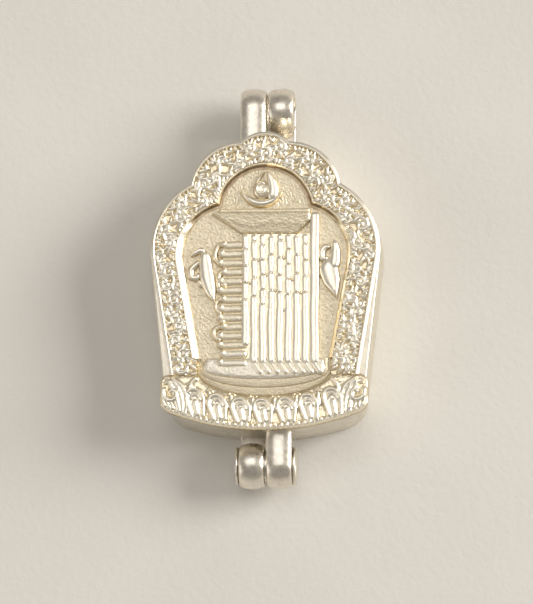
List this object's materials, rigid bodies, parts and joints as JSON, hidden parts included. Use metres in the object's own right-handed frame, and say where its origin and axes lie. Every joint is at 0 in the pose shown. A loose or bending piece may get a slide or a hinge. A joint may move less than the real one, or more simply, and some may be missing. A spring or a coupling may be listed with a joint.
{
  "type": "prayer-box pendant",
  "caption": "Small silver amulet case with a relief face, an arched outline, loops above and below, and a cover hinged at the foot.",
  "frame": {"origin": "under the middle of the pendant's overall box, on the surface that its flat back lies on", "axes": "the pendant lies on its back: +Z comes out of the relief face, +Y runs to the top loops, +X is to the right seen from the front"},
  "size_m": [0.025, 0.0442, 0.0084],
  "materials": {
    "cast_silver": "cast relief, bright on the high points and dull in the hollows",
    "matted_silver": "fine matted field",
    "sheet_silver": "hand-polished sheet with fine scratches",
    "polished_silver": "polished by wear"
  },
  "bodies": {
    "back_half": {"back_plate": "sheet_silver", "back_wall": "sheet_silver", "inner_collar": "sheet_silver", "top_right_loop": "polished_silver", "bottom_left_loop": "polished_silver", "hinge_tube": "polished_silver"},
    "cover": {"front_wall": "sheet_silver", "front_plate": "matted_silver", "top_left_loop": "polished_silver", "bottom_right_loop": "polished_silver", "outer_rim": "cast_silver", "border_frame": "cast_silver", "border_scrolls": "cast_silver", "inner_bezel": "cast_silver", "lotus_base": "cast_silver", "lotus_petals": "cast_silver", "end_curls": "cast_silver", "seat_steps": "cast_silver", "platform": "cast_silver", "reed_bundle": "cast_silver", "rib_stack": "cast_silver", "canopy": "cast_silver", "crescent": "cast_silver", "sun_drop": "cast_silver", "left_leaf": "cast_silver", "right_leaf": "cast_silver"}
  },
  "joints": [
    {"name": "cover_hinge", "type": "hinge", "parent": "back_half", "child": "cover", "pos_m": [0, -0.0196, 0.0036], "axis": [1, 0, 0], "range_deg": [0, 150]}
  ]
}
